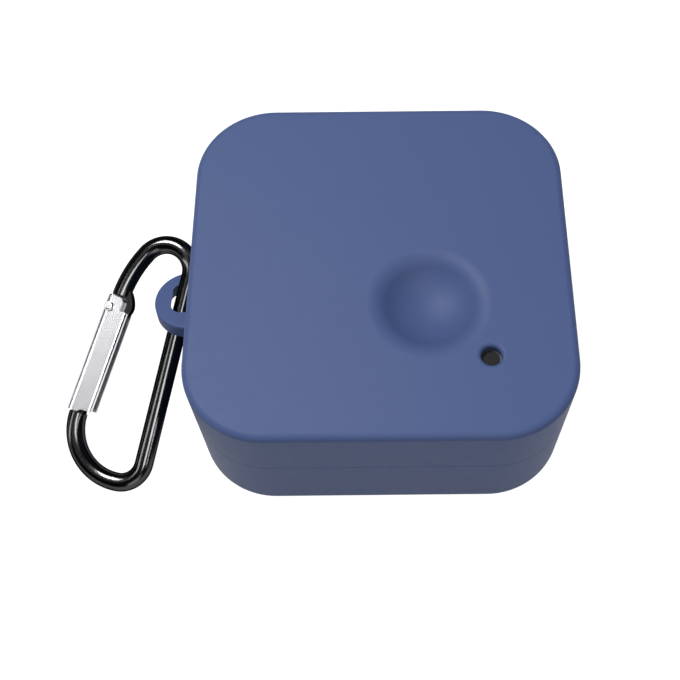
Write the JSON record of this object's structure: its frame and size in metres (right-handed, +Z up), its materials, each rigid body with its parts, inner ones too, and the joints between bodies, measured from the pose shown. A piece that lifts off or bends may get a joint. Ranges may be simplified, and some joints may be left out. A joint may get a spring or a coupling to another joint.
{
  "type": "earbud charging case in a silicone cover",
  "caption": "Square hinged earbud charging case in a soft silicone cover, with a thumb dimple, status light hole, lanyard loop and snap carabiner for clipping to a bag.",
  "frame": {"origin": "centre of the cover's flat underside, which stands on z = 0", "axes": "+X to the right, towards the charging port; +Y to the back, towards the lid's hinge; +Z up"},
  "size_m": [0.0855, 0.0614, 0.0282],
  "materials": {
    "cover_silicone": "matte soft-touch silicone",
    "case_plastic": "satin black",
    "tray_plastic": "fine matte black",
    "steel": "plain",
    "magnet": "nickel plated",
    "board": "green solder mask",
    "chip": "dark moulded",
    "cell_foil": "foil pouch",
    "clear_plastic": "frosted light guide",
    "gold": "gold plated",
    "bud_plastic": "gloss black",
    "tip_silicone": "soft matte",
    "mesh": "fine woven",
    "black_wire": "gloss black",
    "gate_metal": "bright satin"
  },
  "bodies": {
    "case": {"cover_base": "cover_silicone", "case_base_shell": "case_plastic", "case_tray": "tray_plastic", "hinge_pin": "steel", "hinge_spring": "steel", "main_board": "board", "board_chips": "chip", "lid_sensor": "chip", "battery_cell": "cell_foil", "status_led": "clear_plastic", "base_light_pipe": "clear_plastic", "usb_c_socket": "steel", "usb_c_tongue": "chip", "button_switch": "chip", "base_closing_magnet": "magnet", "bud_magnets": "magnet", "pogo_pins": "gold", "tray_screws": "steel", "left_outer_housing": "bud_plastic", "left_inner_housing": "bud_plastic", "left_ear_tip": "tip_silicone", "left_nozzle_mesh": "mesh", "left_driver": "chip", "left_cell": "cell_foil", "left_stem_board": "board", "left_contacts": "gold", "right_outer_housing": "bud_plastic", "right_inner_housing": "bud_plastic", "right_ear_tip": "tip_silicone", "right_nozzle_mesh": "mesh", "right_driver": "chip", "right_cell": "cell_foil", "right_stem_board": "board", "right_contacts": "gold"},
    "lid": {"cover_lid": "cover_silicone", "case_lid_shell": "case_plastic", "lid_liner": "tray_plastic", "lid_light_pipe": "clear_plastic", "lid_closing_magnet": "magnet"},
    "pair_button": {"pair_button": "case_plastic"},
    "carabiner": {"carabiner_frame": "black_wire", "gate_rivet": "steel", "gate_spring": "steel"},
    "gate": {"carabiner_gate": "gate_metal"}
  },
  "joints": [
    {"name": "lid_hinge", "type": "hinge", "parent": "case", "child": "lid", "pos_m": [0, 0.0278, 0.0157], "axis": [-1, 0, 0], "range_deg": [0, 95]},
    {"name": "button_press", "type": "slide", "parent": "case", "child": "pair_button", "axis": [-1, 0, 0], "range_m": [0, 0.0004], "stiffness_N_per_m": 500},
    {"name": "carabiner_swing", "type": "hinge", "parent": "case", "child": "carabiner", "pos_m": [-0.03425, 0.0002, 0.0132], "axis": [1, 0, 0], "range_deg": [0, 85]},
    {"name": "gate_hinge", "type": "hinge", "parent": "carabiner", "child": "gate", "pos_m": [-0.04679, 0.00041, 0.01208], "axis": [-0.0895, -0.3484, 0.9331], "range_deg": [0, 25], "stiffness_Nm_per_rad": 0.02, "springref_deg": -5.73, "deforming": ["gate_spring"]}
  ]
}
